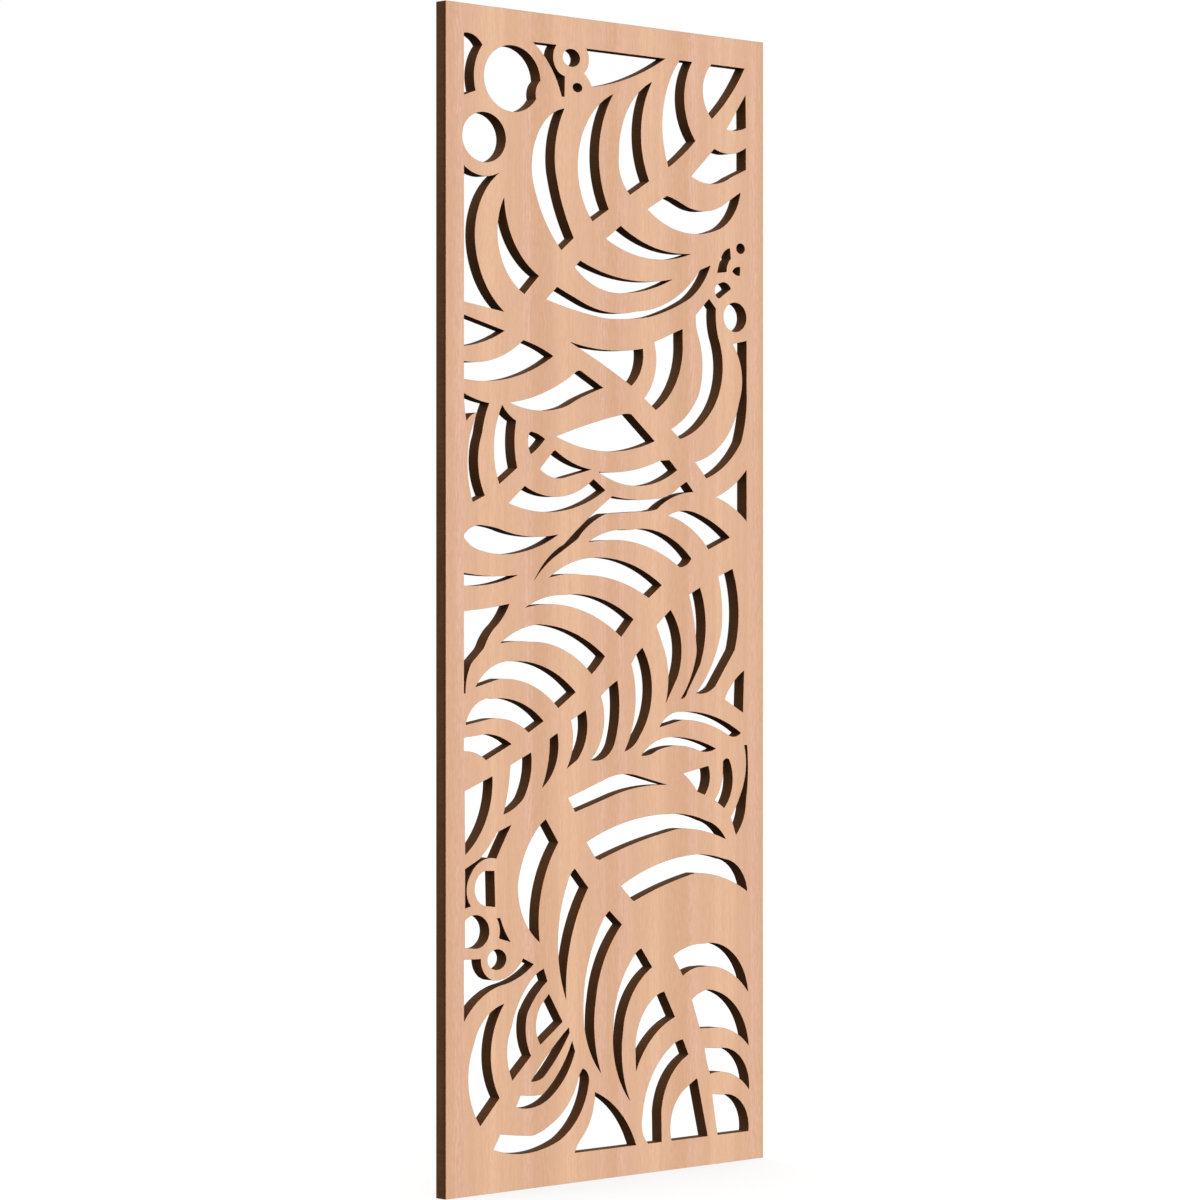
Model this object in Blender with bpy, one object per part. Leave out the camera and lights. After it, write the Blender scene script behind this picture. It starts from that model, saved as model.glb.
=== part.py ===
"""Fretwork grille: one flat board with leaves and bubbles sawn right through it, inside a plain border.

Run it in Blender 4.5: blender --background --python part.py. Blender works in metres with +Z up. The
board stands upright, its face looks along -Y and its flat back lies in the plane y = 0. The drawing of the
openings is in millimetres, x from the board's left edge and z from its bottom edge.
"""

import math

import bmesh
import bpy
from mathutils import Vector

PANEL_WIDTH = 0.420
PANEL_HEIGHT = 1.080
BOARD_THICKNESS = 0.0127
MM = 0.001

# The border is the board left standing round the pattern. LEFT, BOTTOM and TOP are its inner edges.
SIDE_RAIL = 22.6
END_RAIL = 27.5
LEFT = SIDE_RAIL
BOTTOM = END_RAIL
TOP = PANEL_HEIGHT / MM - END_RAIL

# How far a straight facet may stray from the round line that it stands for, in the drawing's millimetres.
FACET_ERROR = 0.12
WELD = 0.00001

COLLECTION = "fretwork_grille"
WOOD_COLOUR = (0.76, 0.46, 0.29, 1.0)
WOOD_ROUGHNESS = 0.6


class Via(tuple):
    """A point that the side between two corners bends through, as one round arc."""


def via(x, z):
    return Via((x, z))


def arc_points(start, middle, end):
    """The points of the arc from start through middle to end, without the two ends."""
    (ax, az), (bx, bz), (cx, cz) = start, middle, end
    turn = 2 * (ax * (bz - cz) + bx * (cz - az) + cx * (az - bz))
    a2 = ax * ax + az * az
    b2 = bx * bx + bz * bz
    c2 = cx * cx + cz * cz
    centre_x = (a2 * (bz - cz) + b2 * (cz - az) + c2 * (az - bz)) / turn
    centre_z = (a2 * (cx - bx) + b2 * (ax - cx) + c2 * (bx - ax)) / turn
    radius = math.hypot(ax - centre_x, az - centre_z)
    first = math.atan2(az - centre_z, ax - centre_x)
    last = math.atan2(cz - centre_z, cx - centre_x)
    sweep = (last - first) % math.tau
    if turn < 0:
        sweep -= math.tau
    step = 2 * math.acos(1 - FACET_ERROR / radius)
    count = max(2, math.ceil(abs(sweep) / step))
    angles = [first + sweep * n / count for n in range(1, count)]
    return [(centre_x + radius * math.cos(a), centre_z + radius * math.sin(a)) for a in angles]


def outline(*marks):
    """A closed line through its corners, each side straight or, where a via stands between them, an arc."""
    points = []
    for place, mark in enumerate(marks):
        if not isinstance(mark, Via):
            points.append(tuple(mark))
            continue
        before = marks[place - 1]
        after = marks[(place + 1) % len(marks)]
        points.extend(arc_points(before, mark, after))
    return points


def oval(x, z, width, height, start=0, end=360, cut=()):
    """An oval. Where start and end leave a gap, the line closes straight across it, or round by the cut."""
    smaller = min(width, height) / 2
    step = math.degrees(2 * math.acos(1 - FACET_ERROR / smaller))
    count = max(12, math.ceil((end - start) / step))
    whole = end - start == 360
    points = []
    for n in range(count + (not whole)):
        angle = math.radians(start + (end - start) * n / count)
        points.append((x + width / 2 * math.cos(angle), z + height / 2 * math.sin(angle)))
    if cut:
        points.extend(arc_points(points[-1], cut, points[0]))
    return points


def upper_bubbles():
    """The bubbles in the upper left corner, and what is cut away round them."""
    return [
        outline((LEFT, 1053), via(36, 1051.5), (45.5, 1044), via(35, 1020), (37, 1002), (LEFT, 997)),
        oval(83.2, 1016.6, 71.4, 60.6, start=2, end=328, cut=(113.2, 1008.5)),
        outline((109.5, TOP), (139.5, TOP), via(137, 1034), (150.5, 1024.5), (150, 1005.5),
                (146.5, 1005.5), via(130, 1034.5)),
        oval(159, 1042.2, 22.3, 16.4),
        oval(167, 1015.3, 12.5, 8.5),
        oval(47.7, 960.5, 54.5, 45.5),
        outline((LEFT, 933), via(42, 925.5), (67, 929.5), via(42, 900), (36.2, 866), via(47.5, 830),
                (73, 803), (LEFT, 810)),
        outline((178.5, TOP), (284, TOP), via(234.5, 1029.8), (186, 1017.5), via(181, 1024.5),
                (175.5, 1029.5), via(182, 1042)),
    ]


def upper_leaf():
    """The fern leaf across the top: first the slots over its rib, then those under it."""
    return [
        outline((73, 907.5), via(86, 866), (117, 838), (98.5, 820.5), via(64.5, 874)),
        outline((150, 994.5), via(139.5, 968), (138, 938), via(146, 908.5), (162, 875.5), (146, 863.5),
                via(125.5, 888.5), (113.5, 913), via(109.5, 952), (123, 979), via(135, 989)),
        outline((214, 1013), via(195, 955), (208, 905), (186.5, 892.5), via(167.5, 945)),
        outline((266, 1029), via(251, 980), (262, 935), (236.5, 920.5), via(225, 935), (221.8, 958),
                via(230.5, 995)),
        outline((303.5, TOP), (320.5, TOP), via(310.2, 1010), (325, 977.5), via(307.5, 963), (288.5, 950),
                via(280, 990)),
        outline((347.5, TOP), (393.5, TOP), via(373.5, 1025), (348, 1000.5), via(335.5, 1026)),
        outline((395, 1027), (395.5, 995.5), via(380, 991.5), (368.5, 992)),
        outline((395.5, 976), (395.5, 955), (375, 946.5), via(345, 938), (319.5, 943.5), (351.5, 972),
                via(370, 968.5)),
        outline((388, 932.5), via(380.5, 914), (361, 896.7), via(315, 889), (260, 908.5), (286, 922.5),
                via(296, 920.3), (308, 916), via(335, 911.2), (371, 923)),
        outline((319, 869.5), via(262, 862), (204.5, 877.3), (224, 890.5), via(272, 872)),
        outline((293.5, 844), via(262, 833), (230, 828), via(190, 832.5), (163.5, 848.5), (170.5, 855),
                via(235, 840.3)),
        outline((346, 860), via(335.5, 843), (318, 827.5), via(291, 815.5), (262, 807), via(235, 803.8),
                (205, 803), via(166, 808.3), (126.5, 817), (140.5, 829), (172, 817), via(205, 809),
                (245, 811.3), via(295, 825.3), (332, 855)),
    ]


def right_bubbles():
    """The small bubbles beside the right-hand rail."""
    return [
        oval(388, 878.5, 12, 10),
        outline((373, 878), (374.5, 868), via(370, 862.5), (368.5, 855), (355.5, 853.5), via(358, 862),
                (361.5, 869.5), via(366.5, 875.3)),
        outline((376.5, 856), via(380.5, 859.5), (387.5, 860.5), (387, 852.5), via(381, 853)),
        outline((374.5, 839), (358, 829), via(352, 837), (359, 843.5), via(368, 844.3)),
        oval(380.2, 812, 32, 28.2),
    ]


def right_leaf():
    """The leaf that curls down beside the right-hand rail, and the cuts under its rib."""
    return [
        outline((157, 779), via(195, 773.7), (253.5, 776.5), via(251.5, 757.5), (238, 741.3), via(200, 760)),
        outline((269, 783.5), (307.5, 797.5), (307.7, 779), via(300.5, 750), (271, 719.5), (255.5, 730),
                via(271, 758)),
        outline((344, 828), (353.5, 819), via(353.8, 804), (359, 786), via(360, 744), (342, 715),
                via(325, 701.5), (304, 693), (292, 702), via(315.5, 717.5), (330, 736), via(335, 762),
                (328, 795), via(326, 803), (326, 812)),
        outline((396.5, 790), (396.5, 745), via(395, 715), (389, 692.5), via(373.5, 675), (340.2, 656.3),
                (325, 671.5), via(362.7, 690.5), (386, 730), via(390, 757), (377, 786)),
        outline((396.5, 665.5), (396.5, 616), via(374.5, 630.5), (353.5, 638.5), via(376, 649)),
        outline((139.5, 691), via(182.3, 703.6), (227, 714), (238, 714.3), (269.5, 690), via(205, 678.8)),
        outline((194.5, 659.5), via(240, 662), (276, 671.5), (289.5, 672.5), (300, 663.3), via(243, 647.3)),
        outline((111, 558), via(128, 578), (150, 592), via(180, 615), (213, 637), via(240, 634.3),
                (270, 635.5), via(288.5, 639), (303, 647), (313, 652.3), (322.5, 643), (309, 641.5),
                via(290.5, 636), (272.5, 625.8), via(262, 624), (250, 623.3), (205, 620.7),
                via(187.5, 613), (166, 596), (137.5, 580), via(122, 569)),
    ]


def left_leaf():
    """The leaf that leaves the left-hand rail, and the small one that hangs under it."""
    return [
        outline((LEFT, 798), (73.5, 785.7), via(47.3, 775), (LEFT, 770)),
        outline((LEFT, 756), via(60.5, 759.5), (97, 778), via(116, 773), (135.5, 765), via(85, 744),
                (LEFT, 740)),
        outline((80, 720.5), via(124.3, 731.1), (165.3, 751.5), via(169, 752.8), (173.5, 751.6),
                (200.8, 738), via(175.5, 729.5), (151, 719), via(114, 714.3)),
        outline((LEFT, 727), via(38.5, 721.8), (54, 719), via(48.4, 705.6), (45, 691.5), via(40, 665),
                (48.5, 635), (33.5, 629), via(27, 665), (30.5, 690.3), (38.6, 710), via(31, 707.2),
                (25.8, 702.3), (24, 711)),
        outline((70.5, 717.8), via(78, 710), (88, 704), via(86, 680), (89.3, 661), (66.8, 645.8),
                via(60, 676)),
        outline((104.7, 693), via(106.4, 694.2), (108.8, 694.3), via(117.5, 691.9), (124.7, 688.2),
                via(115.8, 679.9), (106.7, 673.9), via(103.3, 684)),
        outline((138.5, 678), via(158, 668), (185, 661.3), (155, 654.5), via(138, 652.7), (118.5, 660.5),
                (135, 676.5)),
        outline((78.5, 628.5), (99, 644.5), via(136.5, 635.2), (188, 652.5), (203.5, 642.5),
                via(140, 621.7)),
        outline((23.4, 600), via(30.3, 605), (42, 608), via(52, 607.2), (65.3, 605), via(90, 599.6),
                (142, 600.5), via(120, 590.5), (95, 584), via(64, 582), (38, 586.4), via(29.3, 590.7),
                (23.9, 595.2), via(22.7, 597.6)),
        outline((LEFT, 564.5), via(52, 561.8), (90.5, 563), via(60, 555.3), (LEFT, 553)),
    ]


def centre_leaf():
    """The large leaf across the middle: the slots over its rib, the cut behind them, then those under it."""
    return [
        outline((288, 620), via(308, 624.8), (330, 621.6), via(352, 612.8), (373, 600), (343.3, 588.5),
                via(321.3, 606.7)),
        outline((181.5, 594), via(205.5, 603.3), (236, 605.7), via(288, 600), (319.5, 579.3),
                via(313, 573.5), (303, 571.5), via(262, 589.5), (225, 596), via(203, 595.8)),
        outline((130, 560.5), via(155.5, 573.3), (190, 579.5), via(242, 572), (279, 554), (261.5, 542),
                via(225, 556.5), (175, 563.3), via(152, 564)),
        outline((99.5, 533), via(122, 541.5), (150, 544.7), via(202.3, 539.8), (241, 521.8),
                (224.5, 505.5), via(190, 524.5), (145, 535.5), via(122, 536)),
        outline((68, 500.5), via(88.7, 511.5), (115, 517.5), via(163, 509), (203, 487.5),
                via(194.7, 478.7), (185.5, 471), via(152.5, 492.5), (105, 501.7), via(85, 502.3)),
        outline((37, 461), via(56, 478.3), (85, 484), via(130, 476), (164.5, 454.5), (142, 440.3),
                via(112, 460), (65, 467.8)),
        outline((24.7, 427), via(35, 443.5), (60, 450.2), via(93, 446), (123, 428.5), (103.8, 418.5),
                via(80, 430), (52, 431.5)),
        outline((LEFT, 415.5), (50, 418), via(66.4, 415.5), (82, 408.3), (50, 394.5), via(38, 401),
                (LEFT, 403)),
        outline((LEFT, 530), via(50, 532.5), (79.5, 536.5), via(71, 524), (60, 514), via(54, 507.5),
                (48, 497.5), via(40, 490), (31, 481.5), via(26.5, 471), (24.5, 455.5), (LEFT, 455.5)),
        outline((357, 562.5), (376.5, 569.8), via(385, 522), (379.7, 492), (353, 458), via(342, 452),
                (326.5, 451.2), via(350.5, 482.5), (361.5, 512), via(362.2, 535)),
        outline((316.5, 545), (331.5, 551.7), via(339.2, 514), (330.8, 477), (314, 452.7),
                via(310.6, 447.7), (305.2, 446.2), via(319.3, 467), (326.8, 490), via(325, 511)),
        outline((272, 516), (291, 530.5), via(306, 492), (300, 466), (284.3, 441.5), via(288, 470),
                (284, 490)),
        outline((238.3, 479.8), via(245, 488.5), (253, 495), via(265.5, 450), (250, 413), via(240, 402.5),
                (229, 398), via(244, 445)),
        outline((197.7, 450.3), via(208, 458), (219.5, 464.5), via(222, 437), (216, 406.5), via(208, 396),
                (184.5, 391.3), via(201.5, 420)),
        outline((158.7, 428.5), (177.5, 437.5), via(178.5, 413), (166, 391.5), (153, 384), via(161, 405)),
        outline((131, 412), (141, 417), via(139.5, 390.5), (121, 367), via(129, 390)),
        outline((81, 389), via(93.3, 394.2), (107, 400), via(105.5, 376), (97, 358), via(88, 351),
                (72, 344.5), via(77.8, 366)),
        outline((23.5, 367), (58, 379.5), via(53, 347), (24.2, 309.5)),
        outline((365.8, 444.7), via(379, 461.8), (393, 472), (391.5, 431.5)),
    ]


def small_leaf():
    """The small leaf against the right-hand rail."""
    return [
        outline((276, 419.7), via(288, 430), (308, 433.8), via(352, 428), (388.5, 412), via(381, 408.7),
                (372, 409.8), via(340, 422), (308, 426.3), via(291, 422.8)),
        outline((251.5, 393.5), via(268, 405), (290, 410), via(325, 406.5), (353.5, 397.7), via(341, 395),
                (330, 396.5), via(297, 401.8), (272.5, 397.8), via(262, 394)),
        outline((309, 375), (343, 381.3), via(345, 369), (338, 354), (328.5, 357), via(318.8, 367.3)),
        outline((363.5, 384.6), via(367, 387.5), (371.7, 387), via(376.8, 371), (365, 340.5), (352, 348.5),
                via(360.3, 360.5), (363.3, 372)),
        outline((393.3, 400), (397.3, 400), via(398.4, 375), (395.5, 345), via(391, 327), (381.5, 314),
                (374.5, 331.5), via(384, 345), (392.5, 363), via(395.8, 382)),
    ]


def lower_leaf():
    """The leaf in the lower right corner: the slots right of its rib, then those left of it."""
    return [
        outline((155, 356.7), (205, 373), via(228, 376.8), (250, 373.8), (286.5, 365), via(245, 363.6),
                (205.3, 354.9), (164, 343.5)),
        outline((179, 314.8), via(225.3, 330.3), (290, 337.2), via(318, 335), (340, 329), via(356, 322),
                (367.5, 310.3), via(337, 319.4), (305, 323), via(250.5, 313.3), (196, 297.7), (191, 299.2)),
        outline((224.5, 272), via(270, 289.2), (330, 297.3), via(348, 295.4), (365.3, 291.5),
                via(389, 278.7), (397.5, 259), via(365, 273.3), (325, 279.8), via(285.5, 271),
                (242.5, 257.3), (238.5, 259)),
        outline((294.8, 202.5), via(315, 210), (337, 211.7), via(380.5, 197.7), (398.5, 162),
                via(368, 184.5), (335, 190), via(320, 188.3), (308, 183)),
        outline((320.5, 159.3), via(330.3, 164.6), (342, 167.5), via(383, 147.3), (399.5, 110),
                via(378, 125), (350, 130.7), (331.5, 131.3)),
        outline((338, 112), (358, 110.3), via(387, 100.5), (400, 67.5), via(378, 83.5), (345.5, 86.9),
                via(341, 99)),
        outline((348.5, 67), (363, 65.4), via(392.3, 52.5), (399, BOTTOM), (356, BOTTOM), via(352, 48)),
        outline((126, 338), (142, 316), via(120.5, 273.3), (118, 225.3), via(95.3, 253), (90.6, 280),
                via(101, 310.3), (119.8, 333.8)),
        outline((163.5, 291), (181, 272.5), via(158.7, 226.3), (152.3, 170), via(142, 229), (158.5, 286.5)),
        outline((209, 249.5), (225.5, 236), via(203, 206), (191, 168), via(189.5, 132), (198, 98.5),
                via(180, 128), (175.2, 152), via(181.6, 203.3), (204.5, 246)),
        outline((251.5, 212), (266, 193.5), via(241, 172), (227, 135), via(226, 105), (236.5, 69.5),
                via(217, 105), (214.5, 140), via(224.5, 181), (246.5, 209.7)),
        outline((282.5, 169.3), (297, 144.5), via(266.5, 127), (244.3, 96.5), (243.8, 117),
                via(251, 145.3), (273.5, 167)),
        outline((308, 122.3), (315.5, 107.5), via(290, 87), (278.5, 55), (279, BOTTOM), (261, BOTTOM),
                via(254.5, 36), (253, 52), via(267, 92.3), (297.3, 119.8)),
        outline((326.5, 83.7), (328, 82), (342, BOTTOM), (292.5, BOTTOM), via(294.5, 56), (312.7, 76)),
        outline((190, 81.5), via(221, 62), (244.5, BOTTOM), (163.5, BOTTOM), (170, 38), via(184.8, 57.6)),
    ]


def corner_leaf():
    """The leaf in the lower left corner, with the bubbles over it."""
    return [
        outline((82, 334.5), via(73, 321), (63, 304.5), via(42, 302), (30, 290), via(25.8, 277),
                (31, 262.5), (24, 261), (24, 296.5), (41, 304.3), via(55, 317), (64.3, 328.5)),
        outline((60.5, 293.3), (61.5, 260.5), (50, 262), via(36, 277.5), (50, 293.8)),
        outline((24, 249.5), via(37, 254.3), (49, 249.5), via(54, 239), (49, 228), via(43, 224.6),
                (36, 223.9), (24, 225.3)),
        outline((63.5, 250), (68, 250), via(73, 239), (81, 227.5), (66.3, 231.5), via(67, 243)),
        oval(63.8, 212.4, 23.5, 18.7),
        outline((LEFT, 214.5), (43.5, 214), via(49, 199.5), (62, 193.3), via(80, 197), (97, 211.5),
                (110.5, 205.5), via(95.5, 196.4), (75.3, 189.7), via(45.7, 179.7), (LEFT, 158.5)),
        outline((73, 171.5), via(56, 125), (67, 86), (43, 62.5), via(28.1, 104), (35.2, 137),
                via(48, 158.5)),
        outline((123.3, 200.5), (128, 188.8), via(113.8, 176.6), (102, 160), via(100.3, 142), (107, 121.5),
                (83.2, 100.7), (80, 108.5), via(76.9, 123), (82.5, 150), via(93, 173.5), (112, 195)),
        outline((130, 177), (147.5, 150), (119, 131), via(113.5, 150), (123, 170.3)),
        outline((156, 144.5), (156.5, 139), via(141, 118.5), (124, 101.5), via(116, 98.3), (107, 98),
                via(130, 122.5)),
        outline((160, 131.5), (163.8, 121.5), via(148, 95.3), (128, 79.4), via(110, 74), (88, 76),
                (94, 86.3), via(107, 84.8), (122, 84.8), via(138, 98.5)),
        outline((174, 104.9), via(180.5, 99.5), (181.8, 91), via(169, 61.5), (145, 41.5), via(105, 32.8),
                (59.5, 39.5), (68.3, 52.8), via(90, 49.9), (110, 48.3), via(120.5, 50.9), (130.3, 55.2),
                via(153, 71), (170, 100)),
    ]


def board_edge():
    wide = PANEL_WIDTH / MM
    high = PANEL_HEIGHT / MM
    return [(0, 0), (wide, 0), (wide, high), (0, high)]


def openings():
    motifs = (upper_bubbles, upper_leaf, right_bubbles, right_leaf, left_leaf, centre_leaf, small_leaf,
              lower_leaf, corner_leaf)
    return [opening for motif in motifs for opening in motif()]


def add_spline(curve, points):
    spline = curve.splines.new("POLY")
    spline.points.add(len(points) - 1)
    for point, (x, z) in zip(spline.points, points):
        point.co = (x * MM, z * MM, 0, 1)
    spline.use_cyclic_u = True


def board_mesh():
    """The board as one closed solid, from a flat outline with the openings in it."""
    curve = bpy.data.curves.new("fretwork_outline", "CURVE")
    curve.dimensions = "2D"
    curve.fill_mode = "BOTH"
    curve.extrude = BOARD_THICKNESS / 2
    for points in [board_edge(), *openings()]:
        add_spline(curve, points)
    drawing = bpy.data.objects.new("fretwork_outline", curve)
    mesh = bpy.data.meshes.new_from_object(drawing)
    bpy.data.objects.remove(drawing)
    bpy.data.curves.remove(curve)
    mesh.name = "fretwork_panel"
    shape = bmesh.new()
    shape.from_mesh(mesh)
    bmesh.ops.remove_doubles(shape, verts=shape.verts, dist=WELD)
    for vert in shape.verts:
        x, z, depth = vert.co
        vert.co = Vector((x - PANEL_WIDTH / 2, -BOARD_THICKNESS / 2 - depth, z - PANEL_HEIGHT / 2))
    bmesh.ops.recalc_face_normals(shape, faces=shape.faces)
    shape.to_mesh(mesh)
    shape.free()
    return mesh


def wood_material():
    material = bpy.data.materials.new("light_wood")
    material.use_nodes = True
    shader = material.node_tree.nodes["Principled BSDF"]
    shader.inputs["Base Color"].default_value = WOOD_COLOUR
    shader.inputs["Roughness"].default_value = WOOD_ROUGHNESS
    shader.inputs["Metallic"].default_value = 0.0
    return material


def main():
    for old in list(bpy.data.objects):
        bpy.data.objects.remove(old)
    grille = bpy.data.collections.new(COLLECTION)
    bpy.context.scene.collection.children.link(grille)
    mesh = board_mesh()
    mesh.materials.append(wood_material())
    grille.objects.link(bpy.data.objects.new("fretwork_panel", mesh))


main()
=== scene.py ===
import math

import bmesh
import bpy
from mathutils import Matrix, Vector
from mathutils.geometry import delaunay_2d_cdt


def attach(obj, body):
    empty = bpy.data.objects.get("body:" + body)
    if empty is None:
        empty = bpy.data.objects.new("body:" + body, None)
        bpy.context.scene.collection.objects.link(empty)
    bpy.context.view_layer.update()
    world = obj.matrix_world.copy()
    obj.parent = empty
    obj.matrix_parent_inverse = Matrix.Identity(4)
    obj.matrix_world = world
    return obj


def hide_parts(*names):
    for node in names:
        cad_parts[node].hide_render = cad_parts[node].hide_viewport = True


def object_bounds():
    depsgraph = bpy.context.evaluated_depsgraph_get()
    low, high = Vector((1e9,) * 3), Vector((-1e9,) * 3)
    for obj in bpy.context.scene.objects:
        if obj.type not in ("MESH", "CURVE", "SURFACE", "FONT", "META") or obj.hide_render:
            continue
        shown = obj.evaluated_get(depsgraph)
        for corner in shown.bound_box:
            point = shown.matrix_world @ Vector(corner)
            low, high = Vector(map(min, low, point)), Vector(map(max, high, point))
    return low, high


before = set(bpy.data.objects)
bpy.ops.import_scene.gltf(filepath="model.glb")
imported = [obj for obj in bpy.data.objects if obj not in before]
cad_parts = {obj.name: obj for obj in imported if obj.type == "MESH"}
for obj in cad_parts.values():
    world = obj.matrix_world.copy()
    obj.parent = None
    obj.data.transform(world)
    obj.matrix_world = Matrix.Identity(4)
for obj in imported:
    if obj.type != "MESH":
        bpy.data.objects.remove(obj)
cadLow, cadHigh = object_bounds()
mm = 0.001
print("frame loaded, the board measures", [round(side / mm, 1) for side in cadHigh - cadLow], "mm")


# Camera

camera = {
    "turn": 45.005,  # degrees from facing the board squarely, as it stands off to the left
    "left": 2.674,  # m past the board's left edge
    "ahead": 2.870,  # m in front of its face
    "lens": 130.6,  # mm, as is the sensor's width
    "sensor": 36.0,
    "farthest": 60,  # m
}


def addCamera():
    data = bpy.data.cameras.new("studioCamera")
    data.sensor_fit = "HORIZONTAL"
    data.sensor_width = camera["sensor"]
    data.lens = camera["lens"]
    data.clip_end = camera["farthest"]
    stand = bpy.data.objects.new("studioCamera", data)
    height = (cadLow.z + cadHigh.z) / 2
    stand.location = (cadLow.x - camera["left"], cadLow.y - camera["ahead"], height)
    stand.rotation_euler = (math.radians(90), 0, math.radians(-camera["turn"]))
    bpy.context.scene.collection.objects.link(stand)
    bpy.context.scene.camera = stand


addCamera()
print("camera placed")


# Shader helpers

floatSocket = "NodeSocketFloat"
vectorSocket = "NodeSocketVector"


def addNode(tree, kind, x, y, **settings):
    node = tree.nodes.new(kind)
    node.location = (x, y)
    for name, value in settings.items():
        setattr(node, name, value)
    return node


def feed(tree, socket, value):  # a link where the value is a socket, a plain number otherwise
    if isinstance(value, bpy.types.NodeSocket):
        tree.links.new(value, socket)
    else:
        socket.default_value = value


def maths(tree, operation, first, second, x, y):
    node = addNode(tree, "ShaderNodeMath", x, y, operation=operation)
    feed(tree, node.inputs[0], first)
    if second is not None:
        feed(tree, node.inputs[1], second)
    return node.outputs[0]


def remap(tree, value, low, high, toLow, toHigh, x, y):  # eased, and held at both ends
    node = addNode(tree, "ShaderNodeMapRange", x, y, interpolation_type="SMOOTHSTEP")
    for socket, given in zip(list(node.inputs)[:5], (value, low, high, toLow, toHigh)):
        feed(tree, socket, given)
    return node.outputs[0]


def blendColours(tree, mask, first, second, x, y):
    node = addNode(tree, "ShaderNodeMix", x, y, data_type="RGBA")
    feed(tree, node.inputs[0], mask)
    feed(tree, node.inputs[6], first)
    feed(tree, node.inputs[7], second)
    return node.outputs[2]


noiseRoughness = 0.55


def markNoise(tree, vector, mark, x, y):  # noise of the mark's own stretch, in features per metre
    spread = addNode(tree, "ShaderNodeVectorMath", x, y, operation="MULTIPLY")
    feed(tree, spread.inputs[0], vector)
    feed(tree, spread.inputs[1], mark["stretch"])
    noise = addNode(tree, "ShaderNodeTexNoise", x + 180, y)
    noise.inputs["Scale"].default_value = 1
    noise.inputs["Detail"].default_value = mark["detail"]
    noise.inputs["Roughness"].default_value = noiseRoughness
    tree.links.new(spread.outputs[0], noise.inputs["Vector"])
    return noise.outputs["Fac"]


def markMask(tree, vector, mark, x, y):  # the mark's noise, and the mask made of it from faint to full
    noise = markNoise(tree, vector, mark, x, y)
    least = mark.get("least", 0.0)
    return noise, remap(tree, noise, mark["faint"], mark["full"], least, 1.0, x + 400, y)


def newGroup(name, inputs, outputs):
    tree = bpy.data.node_groups.new(name, "ShaderNodeTree")
    for label, kind, value in inputs:
        socket = tree.interface.new_socket(name=label, in_out="INPUT", socket_type=kind)
        if value is not None:
            socket.default_value = value
    for label in outputs:
        tree.interface.new_socket(name=label, in_out="OUTPUT", socket_type=floatSocket)
    source = addNode(tree, "NodeGroupInput", -1200, 0)
    result = addNode(tree, "NodeGroupOutput", 1400, 0)
    return tree, source.outputs, result.inputs


def placeGroup(tree, group, x, y, values):
    node = addNode(tree, "ShaderNodeGroup", x, y, node_tree=group)
    for label, value in values.items():
        feed(tree, node.inputs[label], value)
    return node.outputs


# Effects, each a group built once

grain = {  # stretch is in features per metre across, through and up the board
    "sway": {"stretch": (14.0, 14.0, 3.2), "detail": 2},
    "streak": {"stretch": (130.0, 45.0, 2.5), "detail": 4, "faint": 0.32, "full": 0.68},
    "loop": {"stretch": (32.0, 12.0, 13.0), "detail": 1},
    "patch": {"stretch": (40.0, 20.0, 10.0), "detail": 1, "faint": 0.35, "full": 0.65, "least": 0.25},
    "fleck": {"stretch": (600.0, 200.0, 140.0), "detail": 2, "faint": 0.36, "full": 0.66},
    "pore": {"stretch": (2400.0, 900.0, 190.0), "detail": 1, "faint": 0.62, "full": 0.74},
    "ringStart": -0.6,  # of the wave from -1 to 1, where a ring starts to darken
    "fleckHeight": 0.6,  # of a pore's depth
}


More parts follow.
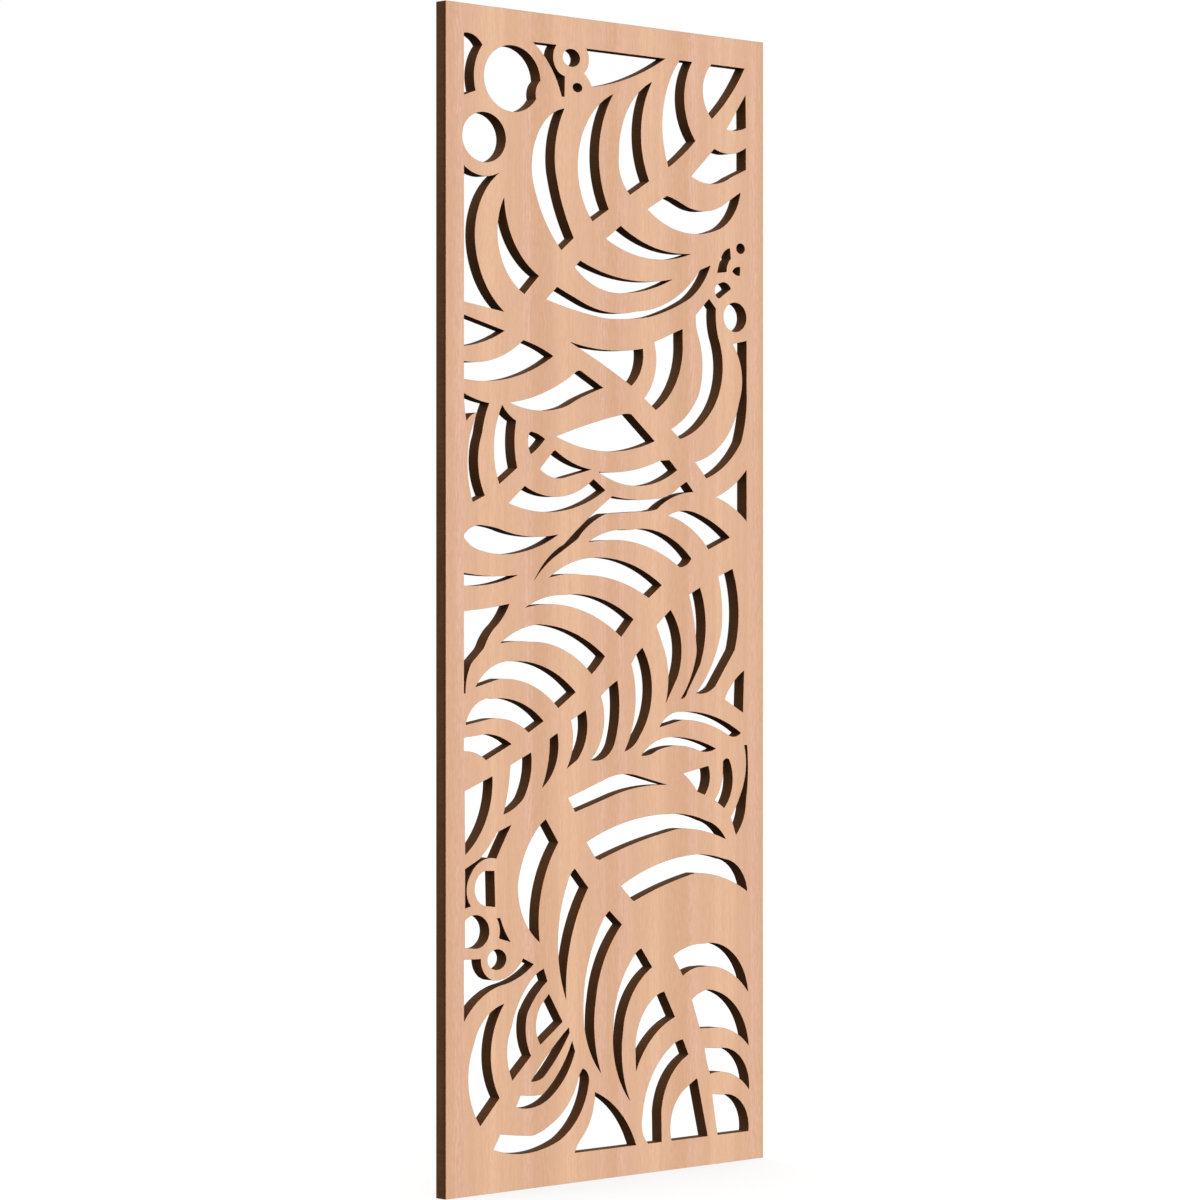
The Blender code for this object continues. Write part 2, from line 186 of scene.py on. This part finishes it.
def buildFigure():  # the board's growth, all upright: soft streaks, looping rings, short flecks and pores
    inputs = (
        ("Vector", vectorSocket, None),
        ("Seam", floatSocket, 0.0),
        ("Wander", floatSocket, 0.004),
        ("Ring Spacing", floatSocket, 0.0042),
        ("Looping", floatSocket, 5.0),
    )
    outputs = ("Distance", "Streak", "Ring", "Fleck", "Pore", "Height")
    tree, given, result = newGroup("woodFigure", inputs, outputs)
    place = addNode(tree, "ShaderNodeSeparateXYZ", -1000, 200)
    tree.links.new(given["Vector"], place.inputs[0])
    sway = markNoise(tree, given["Vector"], grain["sway"], -1000, -100)
    sway = maths(tree, "SUBTRACT", sway, 0.5, -620, -100)
    swayed = maths(tree, "MULTIPLY", sway, given["Wander"], -440, -100)
    across = maths(tree, "ADD", place.outputs[0], swayed, -260, 100)
    fromSeam = maths(tree, "SUBTRACT", across, given["Seam"], -80, 200)
    tree.links.new(maths(tree, "ABSOLUTE", fromSeam, None, 100, 200), result["Distance"])

    bent = addNode(tree, "ShaderNodeCombineXYZ", -80, -100)
    for socket, value in zip(bent.inputs, (across, place.outputs[1], place.outputs[2])):
        tree.links.new(value, socket)
    bent = bent.outputs[0]
    tree.links.new(markMask(tree, bent, grain["streak"], 100, -100)[1], result["Streak"])

    loops = markNoise(tree, bent, grain["loop"], 100, -300)
    loops = maths(tree, "MULTIPLY", loops, given["Looping"], 480, -300)
    turns = maths(tree, "DIVIDE", across, given["Ring Spacing"], 480, -440)
    turns = maths(tree, "ADD", turns, loops, 640, -300)
    wave = maths(tree, "SINE", maths(tree, "MULTIPLY", turns, math.tau, 800, -300), None, 960, -300)
    wave = remap(tree, wave, grain["ringStart"], 1.0, 0.0, 1.0, 1100, -300)
    patch = markMask(tree, bent, grain["patch"], 100, -500)[1]
    tree.links.new(maths(tree, "MULTIPLY", wave, patch, 1240, -300), result["Ring"])

    fleckNoise, fleck = markMask(tree, bent, grain["fleck"], 100, -700)
    pit = markMask(tree, bent, grain["pore"], 100, -900)[1]
    tree.links.new(fleck, result["Fleck"])
    tree.links.new(pit, result["Pore"])
    swelling = maths(tree, "MULTIPLY", fleckNoise, grain["fleckHeight"], 800, -700)
    tree.links.new(maths(tree, "SUBTRACT", swelling, pit, 960, -800), result["Height"])
    return tree


def buildGrowthBand():  # one soft upright band of the wood's colour, evenly coloured over its core
    inputs = (
        ("Distance", floatSocket, None),
        ("Centre", floatSocket, 0.0),
        ("Reach", floatSocket, 0.01),
        ("Core", floatSocket, 0.2),
    )
    tree, given, result = newGroup("growthBand", inputs, ("Mask",))
    away = maths(tree, "SUBTRACT", given["Distance"], given["Centre"], -900, 0)
    away = maths(tree, "ABSOLUTE", away, None, -700, 0)
    core = maths(tree, "MULTIPLY", given["Reach"], given["Core"], -700, -200)
    tree.links.new(remap(tree, away, core, given["Reach"], 1.0, 0.0, -500, 0), result["Mask"])
    return tree


sawing = {  # stretch as for the grain
    "line": {"stretch": (1500.0, 45.0, 1500.0), "detail": 2},
    "groove": {"stretch": (420.0, 25.0, 420.0), "detail": 1},
    "scorch": {"stretch": (55.0, 160.0, 30.0), "detail": 3, "faint": 0.3, "full": 0.7},
    "lineShare": 0.6,  # the rest is the wider grooves
    "faint": 0.35,  # of lines and grooves together
    "full": 0.65,
}


def buildSawMarks():  # fine lines through the thickness, left by the blade on every cut side
    inputs = (("Vector", vectorSocket, None), ("Fineness", floatSocket, 1.0))
    tree, given, result = newGroup("sawMarks", inputs, ("Mark", "Scorch", "Height"))
    scaled = addNode(tree, "ShaderNodeVectorMath", -1000, 0, operation="SCALE")
    tree.links.new(given["Vector"], scaled.inputs[0])
    tree.links.new(given["Fineness"], scaled.inputs["Scale"])
    scaled = scaled.outputs[0]
    shares = []
    for kind, share, y in (("line", sawing["lineShare"], 200), ("groove", 1 - sawing["lineShare"], 0)):
        noise = markNoise(tree, scaled, sawing[kind], -700, y)
        shares.append(maths(tree, "MULTIPLY", noise, share, -250, y))
    both = maths(tree, "ADD", shares[0], shares[1], -60, 100)
    tree.links.new(remap(tree, both, sawing["faint"], sawing["full"], 0.0, 1.0, 200, 100), result["Mark"])
    tree.links.new(markMask(tree, scaled, sawing["scorch"], -700, -200)[1], result["Scorch"])
    tree.links.new(both, result["Height"])
    return tree


raggedEdge = {"stretch": (500.0, 60.0, 500.0), "detail": 2}


def buildFaceNearness():  # how near a spot on a cut side is to the front or back face
    inputs = (("Vector", vectorSocket, None), ("Face", floatSocket, 0.0), ("Reach", floatSocket, 0.001))
    tree, given, result = newGroup("faceNearness", inputs, ("Mask",))
    place = addNode(tree, "ShaderNodeSeparateXYZ", -1000, 200)
    tree.links.new(given["Vector"], place.inputs[0])
    depth = maths(tree, "SUBTRACT", place.outputs[1], given["Face"], -700, 200)
    depth = maths(tree, "ABSOLUTE", depth, None, -500, 200)
    ragged = markNoise(tree, given["Vector"], raggedEdge, -700, -200)
    ragged = maths(tree, "ADD", ragged, 0.5, -300, -200)
    reach = maths(tree, "MULTIPLY", ragged, given["Reach"], -120, -200)
    tree.links.new(remap(tree, depth, 0.0, reach, 1.0, 0.0, 100, 100), result["Mask"])
    return tree


def buildOutside():  # the board's four outer edges, whose cut sides get painted light: a lighter colour for standing open, where the recessed cut sides are shaded
    inputs = (
        ("Vector", vectorSocket, None),
        ("Half Width", floatSocket, 0.21),
        ("Half Height", floatSocket, 0.54),
        ("Start", floatSocket, 0.0004),
        ("End", floatSocket, 0.0012),
    )
    tree, given, result = newGroup("outsideEdges", inputs, ("Mask",))
    size = addNode(tree, "ShaderNodeVectorMath", -1000, 0, operation="ABSOLUTE")
    tree.links.new(given["Vector"], size.inputs[0])
    place = addNode(tree, "ShaderNodeSeparateXYZ", -800, 0)
    tree.links.new(size.outputs[0], place.inputs[0])
    sideGap = maths(tree, "SUBTRACT", given["Half Width"], place.outputs[0], -600, 100)
    endGap = maths(tree, "SUBTRACT", given["Half Height"], place.outputs[2], -600, -100)
    gap = maths(tree, "MINIMUM", sideGap, endGap, -400, 0)
    tree.links.new(remap(tree, gap, given["Start"], given["End"], 1.0, 0.0, -200, 0), result["Mask"])
    return tree


toningCloud = {"stretch": (1.6, 1.6, 0.7), "detail": 3, "faint": 0.3, "full": 0.7}  # stretch is per patch


def buildHandling():  # slow, uneven toning of a surface that has been handled and has aged
    inputs = (("Vector", vectorSocket, None), ("Patch Size", floatSocket, 0.12))
    tree, given, result = newGroup("handling", inputs, ("Mask",))
    size = maths(tree, "DIVIDE", 1.0, given["Patch Size"], -900, 100)
    scaled = addNode(tree, "ShaderNodeVectorMath", -700, 0, operation="SCALE")
    tree.links.new(given["Vector"], scaled.inputs[0])
    tree.links.new(size, scaled.inputs["Scale"])
    tree.links.new(markMask(tree, scaled.outputs[0], toningCloud, -500, 0)[1], result["Mask"])
    return tree


figureGroup = buildFigure()
bandGroup = buildGrowthBand()
sawGroup = buildSawMarks()
nearnessGroup = buildFaceNearness()
outsideGroup = buildOutside()
handlingGroup = buildHandling()
print("shader groups built")


# Materials

faceWood = {
    "base": (0.737, 0.445, 0.284, 1),
    "pale": (0.808, 0.505, 0.325, 1),
    "deep": (0.715, 0.418, 0.259, 1),
    "blush": (0.785, 0.477, 0.344, 1),
    "late": (0.632, 0.358, 0.219, 1),  # the darker wood of streaks, rings and flecks
    "pore": (0.56, 0.31, 0.19, 1),
    "seam": 2,  # mm from the board's middle to the line that the bands mirror about
    "paleBands": (55, 152),  # mm from the seam, as are the other bands
    "paleReach": 27,
    "deepBands": (0, 96, 208),
    "deepReach": 14,
    "blushBands": (14, 110, 195),
    "blushReach": 10.5,
    "grainReach": 27,  # rings and flecks are clearest in and round the deep bands
    "quietGrain": 0.42,  # of that strength elsewhere
    "streak": 0.36,  # how far each kind of mark changes the colour, 0 to 1
    "ring": 0.46,
    "fleck": 0.58,
    "pores": 0.30,
    "toning": 0.15,  # how far slow patches take the bands back to the base colour
    "roughness": 0.62,
    "smoother": 0.05,  # taken off the roughness between flecks, and what a fleck adds
    "rougher": 0.06,
    "specular": 0.3,
    "relief": 0.02,  # mm
}

cutSide = {
    "umber": (0.0645, 0.0284, 0.0114, 1),
    "russet": (0.079, 0.0218, 0.0030, 1),  # next to the front face
    "char": (0.042, 0.0168, 0.0062, 1),
    "paintedLitSide": (0.0835, 0.0368, 0.0167, 1),  # the board's own outside edges, painted lighter as painted light, since they stand open to light that the recessed cut sides get less of
    "russetReach": 5.0,  # mm
    "backReach": 0.9,
    "backChar": 0.4,  # how far the char shows at the back face, in scorched patches and in saw lines
    "scorchChar": 0.35,
    "sawChar": 0.35,
    "roughness": 0.82,
    "smoother": 0.06,  # taken off the roughness between saw lines, and what a line adds
    "rougher": 0.08,
    "specular": 0.03,
    "relief": 0.05,  # mm
}


def newMaterial(name):
    material = bpy.data.materials.new(name)
    material.use_nodes = True
    tree = material.node_tree
    shader = tree.nodes["Principled BSDF"]
    shader.location = (1200, 0)
    tree.nodes["Material Output"].location = (1500, 0)
    place = addNode(tree, "ShaderNodeTexCoord", -1200, 0).outputs["Object"]
    return material, tree, shader, place


def addBump(tree, shader, height, distance):
    bump = addNode(tree, "ShaderNodeBump", 900, -400)
    bump.inputs["Strength"].default_value = 1
    bump.inputs["Distance"].default_value = distance
    tree.links.new(height, bump.inputs["Height"])
    tree.links.new(bump.outputs["Normal"], shader.inputs["Normal"])


def addGloss(tree, shader, mark, finish):  # roughness that rises with the mark
    low = finish["roughness"] - finish["smoother"]
    high = finish["roughness"] + finish["rougher"]
    tree.links.new(remap(tree, mark, 0.0, 1.0, low, high, 900, -150), shader.inputs["Roughness"])
    shader.inputs["Specular IOR Level"].default_value = finish["specular"]


def bandMask(tree, distance, centres, reach, x, y):  # several growth bands as one mask
    mask = 0.0
    for step, centre in enumerate(centres):
        band = placeGroup(tree, bandGroup, x, y - 160 * step, {
            "Distance": distance, "Centre": centre * mm, "Reach": reach * mm})["Mask"]
        mask = maths(tree, "MAXIMUM", band, mask, x + 180, y - 160 * step)
    return mask


def buildFaceWood():
    material, tree, shader, place = newMaterial("sandedPaleWood")
    figure = placeGroup(tree, figureGroup, -1000, 200, {"Vector": place, "Seam": faceWood["seam"] * mm})
    toning = placeGroup(tree, handlingGroup, -1000, -300, {"Vector": place})["Mask"]
    colour = faceWood["base"]
    for step, kind in enumerate(("pale", "deep", "blush")):
        mask = bandMask(tree, figure["Distance"], faceWood[kind + "Bands"], faceWood[kind + "Reach"],
                        -800, 900 - 500 * step)
        colour = blendColours(tree, mask, colour, faceWood[kind], -400 + 160 * step, 200)
    toned = maths(tree, "MULTIPLY", toning, faceWood["toning"], -400, -300)
    colour = blendColours(tree, toned, colour, faceWood["base"], 100, 200)
    marks = (("Streak", "streak", "late"), ("Ring", "ring", "late"), ("Fleck", "fleck", "late"),
             ("Pore", "pores", "pore"))
    grainy = bandMask(tree, figure["Distance"], faceWood["deepBands"], faceWood["grainReach"], -800, -600)
    grainy = remap(tree, grainy, 0.0, 1.0, faceWood["quietGrain"], 1.0, 100, -500)
    for step, (socket, strength, tint) in enumerate(marks):
        amount = maths(tree, "MULTIPLY", figure[socket], faceWood[strength], 260 + 160 * step, -100)
        if socket in ("Ring", "Fleck"):
            amount = maths(tree, "MULTIPLY", amount, grainy, 260 + 160 * step, -260)
        colour = blendColours(tree, amount, colour, faceWood[tint], 260 + 160 * step, 200)
    tree.links.new(colour, shader.inputs["Base Color"])
    addGloss(tree, shader, figure["Fleck"], faceWood)
    addBump(tree, shader, figure["Height"], faceWood["relief"] * mm)
    return material


def buildCutSide():
    material, tree, shader, place = newMaterial("toastedSawnSide")
    saw = placeGroup(tree, sawGroup, -1000, 300, {"Vector": place})
    front = placeGroup(tree, nearnessGroup, -1000, 0, {
        "Vector": place, "Face": cadLow.y, "Reach": cutSide["russetReach"] * mm})["Mask"]
    back = placeGroup(tree, nearnessGroup, -1000, -200, {
        "Vector": place, "Face": cadHigh.y, "Reach": cutSide["backReach"] * mm})["Mask"]
    outside = placeGroup(tree, outsideGroup, -1000, -400, {
        "Vector": place, "Half Width": cadHigh.x, "Half Height": cadHigh.z})["Mask"]
    # painted light: the outer sides are coloured lighter than the recessed cut sides, as if more lit
    colour = blendColours(tree, outside, cutSide["umber"], cutSide["paintedLitSide"], -600, 200)
    colour = blendColours(tree, front, colour, cutSide["russet"], -400, 200)
    darker = ((back, "backChar"), (saw["Scorch"], "scorchChar"), (saw["Mark"], "sawChar"))
    for step, (mask, strength) in enumerate(darker):
        amount = maths(tree, "MULTIPLY", mask, cutSide[strength], -400 + 200 * step, 0)
        colour = blendColours(tree, amount, colour, cutSide["char"], -200 + 200 * step, 200)
    tree.links.new(colour, shader.inputs["Base Color"])
    addGloss(tree, shader, saw["Mark"], cutSide)
    addBump(tree, shader, saw["Height"], cutSide["relief"] * mm)
    return material


sandedPaleWood = buildFaceWood()
toastedSawnSide = buildCutSide()
print("materials built")


# The board

fretwork = {
    "node": "fretwork_panel",
    "edgeBreak": 0.15,  # mm that the sanded edge is rounded by
    "breakSteps": 2,
    "stepLength": 2.6,  # mm, the longest step along a round side
    "stepTurn": 6.0,  # degrees, the sharpest turn from step to step
    "cornerTurn": 42.0,  # degrees, above which two sides meet at a corner
    "cornerBulge": 0.35,  # mm, a facet whose arc would stand out further is a straight side
    "longestMitre": 1.6,  # times the edge break
    "uneven": 2,  # times longer: such a side is a straight one, and the arc beside it sets out along it
    "nearlyStraight": 0.5,  # degrees of turn in all, below which a side needs no steps by length
    "facing": 0.99,  # the least part of a face's normal that lies along the thickness
    "upright": 0.1,  # the most that lies so on a cut side
    "weld": 0.01,  # mm, points closer than this are one
    "meeting": 0.0001,  # mm, the same where the face is cut into triangles
}


def sawnOutlines():  # the front face's edges as closed lines in mm, wood on the left of each
    work = bmesh.new()
    work.from_mesh(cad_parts[fretwork["node"]].data)
    bmesh.ops.remove_doubles(work, verts=work.verts, dist=fretwork["weld"] * mm)
    following = {}
    for face in work.faces:
        if face.normal.y > -fretwork["facing"]:
            continue
        for corner in face.loops:
            neighbours = [other for other in corner.edge.link_faces if other != face]
            if neighbours and abs(neighbours[0].normal.y) < fretwork["upright"]:
                following[corner.vert] = corner.link_loop_next.vert
    outlines = []
    while following:
        first = next(iter(following))
        line = []
        here = first
        while here in following:
            line.append(Vector((here.co.x, here.co.z)) / mm)
            here = following.pop(here)
        outlines.append(line)
    work.free()
    return outlines


def turnBetween(first, second):
    return math.atan2(first.cross(second), first.dot(second))


def mirrored(direction, along):  # how a round arc sets out, from how it arrives
    return 2 * direction.dot(along) * along - direction


def pointDirections(line):  # the direction of the outline at each point, None where it turns a corner
    directions = []
    for place, point in enumerate(line):
        arriving = point - line[place - 1]
        leaving = line[(place + 1) % len(line)] - point
        turn = abs(turnBetween(arriving, leaving))
        shorter = min(arriving.length, leaving.length)
        bulge = shorter / 2 * math.tan(turn / 4)
        if math.degrees(turn) > fretwork["cornerTurn"] or bulge > fretwork["cornerBulge"]:
            directions.append(None)
        elif arriving.length > fretwork["uneven"] * leaving.length:
            directions.append(arriving.normalized())
        elif leaving.length > fretwork["uneven"] * arriving.length:
            directions.append(leaving.normalized())
        else:
            direction = arriving.normalized() * leaving.length + leaving.normalized() * arriving.length
            directions.append(direction.normalized())
    return directions


def roundedOutline(line):  # the facets made round again, as (point, is it a corner)
    directions = pointDirections(line)
    points = []
    for place, start in enumerate(line):
        after = (place + 1) % len(line)
        end = line[after]
        chord = (end - start).length
        along = (end - start) / chord
        points.append((start, directions[place] is None))
        if directions[place] is None and directions[after] is None:
            continue
        away = directions[place] or mirrored(directions[after], along)
        home = directions[after] or mirrored(away, along)
        turn = abs(turnBetween(away, along)) + abs(turnBetween(along, home))
        count = math.ceil(math.degrees(turn) / fretwork["stepTurn"])
        if math.degrees(turn) > fretwork["nearlyStraight"]:
            count = max(count, math.ceil(chord / fretwork["stepLength"]))
        handle = chord / 3 / math.cos(turn / 4) ** 2  # of the cubic curve that follows a round arc
        for step in range(1, count):
            t = step / count
            s = 1 - t
            near = start + away * handle
            far = end - home * handle
            spot = start * s ** 3 + near * (3 * s * s * t) + far * (3 * s * t * t) + end * t ** 3
            points.append((spot, False))
    return points


def insetLine(points, inset):  # the line moved into the wood, held back where a corner is sharp
    moved = []
    for place, (point, isCorner) in enumerate(points):
        before = (point - points[place - 1][0]).normalized()
        after = (points[(place + 1) % len(points)][0] - point).normalized()
        inward = Vector((-before.y - after.y, before.x + after.x)).normalized()
        side = Vector((-before.y, before.x))
        reach = 1 / max(inward.dot(side), 1 / fretwork["longestMitre"])
        moved.append(point + inward * (inset * reach))
    return moved


def ringPlan():  # (inset, depth) of each line of points from the front face to the back, in mm
    front = cadLow.y / mm
    back = cadHigh.y / mm
    size = fretwork["edgeBreak"]
    rounding = []
    for step in range(fretwork["breakSteps"] + 1):
        angle = math.pi / 2 * step / fretwork["breakSteps"]
        rounding.append((size * (1 - math.sin(angle)), size * (1 - math.cos(angle))))
    rings = [(inset, front + depth) for inset, depth in rounding]
    rings += [(inset, back - depth) for inset, depth in reversed(rounding)]
    return rings


def closedPairs(items):  # each item with the next one, and the last with the first
    return list(zip(items, items[1:] + items[:1]))


def woodTriangles(lines):  # the face between the outlines, cut into triangles of point numbers
    points = [spot for line in lines for spot in line]
    rim = []
    first = 0
    for line in lines:
        rim += closedPairs(list(range(first, first + len(line))))
        first += len(line)
    cut = delaunay_2d_cdt(points, rim, [], 0, fretwork["meeting"])
    numbers = [sources[0] for sources in cut[3]]  # each corner's own point
    triangles = [[numbers[n] for n in triangle] for triangle in cut[2]]
    owner = {edge: place for place, triangle in enumerate(triangles) for edge in closedPairs(triangle)}
    rim = set(rim)
    waiting = [owner[edge] for edge in rim if edge in owner]
    wood = set(waiting)
    while waiting:  # from each wood triangle to its neighbours, never across the rim
        for start, end in closedPairs(triangles[waiting.pop()]):
            if (start, end) in rim or (end, start) in rim:
                continue
            other = owner.get((end, start))
            if other is not None and other not in wood:
                wood.add(other)
                waiting.append(other)
    return [triangles[place] for place in wood]


def fretworkMesh():
    outlines = [roundedOutline(line) for line in sawnOutlines()]
    work = bmesh.new()
    frontLines = []
    frontVerts = []
    backVerts = []
    for points in outlines:
        rings = []
        for inset, depth in ringPlan():
            line = insetLine(points, inset)
            if not rings:
                frontLines.append(line)
            rings.append([work.verts.new((spot.x * mm, depth * mm, spot.y * mm)) for spot in line])
        for near, far in zip(rings, rings[1:]):
            for n, (point, isCorner) in enumerate(points):
                after = (n + 1) % len(points)
                face = work.faces.new((near[n], far[n], far[after], near[after]))
                face.material_index = 1  # the cut side's, which the board gets second
                face.smooth = True
                if isCorner:
                    work.edges.get((near[n], far[n])).smooth = False
        for ring in (rings[0], rings[-1]):
            for pair in closedPairs(ring):
                work.edges.get(pair).smooth = False
        frontVerts += rings[0]
        backVerts += rings[-1]
    for triangle in woodTriangles(frontLines):
        for verts, order in ((frontVerts, triangle), (backVerts, triangle[::-1])):
            face = work.faces.new([verts[n] for n in order])
            face.smooth = True
    mesh = bpy.data.meshes.new("fretworkBoard")
    work.to_mesh(mesh)
    work.free()
    return mesh


def addBoard():
    board = bpy.data.objects.new("fretworkBoard", fretworkMesh())
    bpy.context.scene.collection.objects.link(board)
    board.data.materials.append(sandedPaleWood)
    board.data.materials.append(toastedSawnSide)
    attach(board, "root")
    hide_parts(fretwork["node"])
    return board


fretworkBoard = addBoard()
print("board made,", sum(len(face.vertices) - 2 for face in fretworkBoard.data.polygons), "triangles")


# Studio

studio = {
    "floorSize": 24.0,  # m
    "floorColour": (0.205, 0.205, 0.205, 1),
    "floorTone": (0.225, 0.225, 0.223, 1),
    "floorPatch": 2.0,  # m
    "floorRoughness": 0.9,
    "floorGlow": 0.61,  # of white, so that the floor stays as pale as the backdrop
    "level": 0.96,  # strength of the light that comes from the sides
    "topGain": 1.87,  # how much stronger it is straight overhead, and how fast it fades downwards
    "least": 0.13,  # what still comes from below
}


def addFloor():
    half = studio["floorSize"] / 2
    mesh = bpy.data.meshes.new("studioFloor")
    corners = [(x, y, cadLow.z) for x, y in ((-half, -half), (half, -half), (half, half), (-half, half))]
    mesh.from_pydata(corners, [], [(0, 1, 2, 3)])
    floor = bpy.data.objects.new("studioFloor", mesh)
    bpy.context.scene.collection.objects.link(floor)
    material, tree, shader, place = newMaterial("studioFloorPaint")
    toning = placeGroup(tree, handlingGroup, -900, 0, {
        "Vector": place, "Patch Size": studio["floorPatch"]})["Mask"]
    tint = blendColours(tree, toning, studio["floorColour"], studio["floorTone"], 300, 0)
    tree.links.new(tint, shader.inputs["Base Color"])
    shader.inputs["Roughness"].default_value = studio["floorRoughness"]
    shader.inputs["Specular IOR Level"].default_value = 0.0
    shader.inputs["Emission Color"].default_value = (1, 1, 1, 1)
    shader.inputs["Emission Strength"].default_value = studio["floorGlow"]
    mesh.materials.append(material)
    floor.visible_diffuse = False  # the board's undersides stay dark, as on a stand well above a floor
    floor.visible_glossy = False


def addSkylight():  # soft light that is brightest overhead, with a white backdrop for the camera
    world = bpy.data.worlds.new("softStudio")
    world.use_nodes = True
    tree = world.node_tree
    glow = tree.nodes["Background"]
    direction = addNode(tree, "ShaderNodeTexCoord", -900, 0).outputs["Generated"]
    upward = addNode(tree, "ShaderNodeSeparateXYZ", -700, 0)
    tree.links.new(direction, upward.inputs[0])
    gained = maths(tree, "MULTIPLY", upward.outputs[2], studio["topGain"], -500, 0)
    light = maths(tree, "ADD", gained, studio["level"], -320, 0)
    light = maths(tree, "MAXIMUM", light, studio["least"], -140, 0)
    tree.links.new(light, glow.inputs["Strength"])
    backdrop = addNode(tree, "ShaderNodeBackground", 0, -200)
    backdrop.inputs["Strength"].default_value = 1.0
    backdrop.inputs["Color"].default_value = (1, 1, 1, 1)
    glow.inputs["Color"].default_value = (1, 1, 1, 1)
    seen = addNode(tree, "ShaderNodeLightPath", 0, 300).outputs["Is Camera Ray"]
    chosen = addNode(tree, "ShaderNodeMixShader", 300, 0)
    tree.links.new(seen, chosen.inputs[0])
    tree.links.new(glow.outputs[0], chosen.inputs[1])
    tree.links.new(backdrop.outputs[0], chosen.inputs[2])
    tree.links.new(chosen.outputs[0], tree.nodes["World Output"].inputs["Surface"])
    bpy.context.scene.world = world


addFloor()
addSkylight()
bpy.context.scene.view_settings.view_transform = "Standard"
print("studio ready")
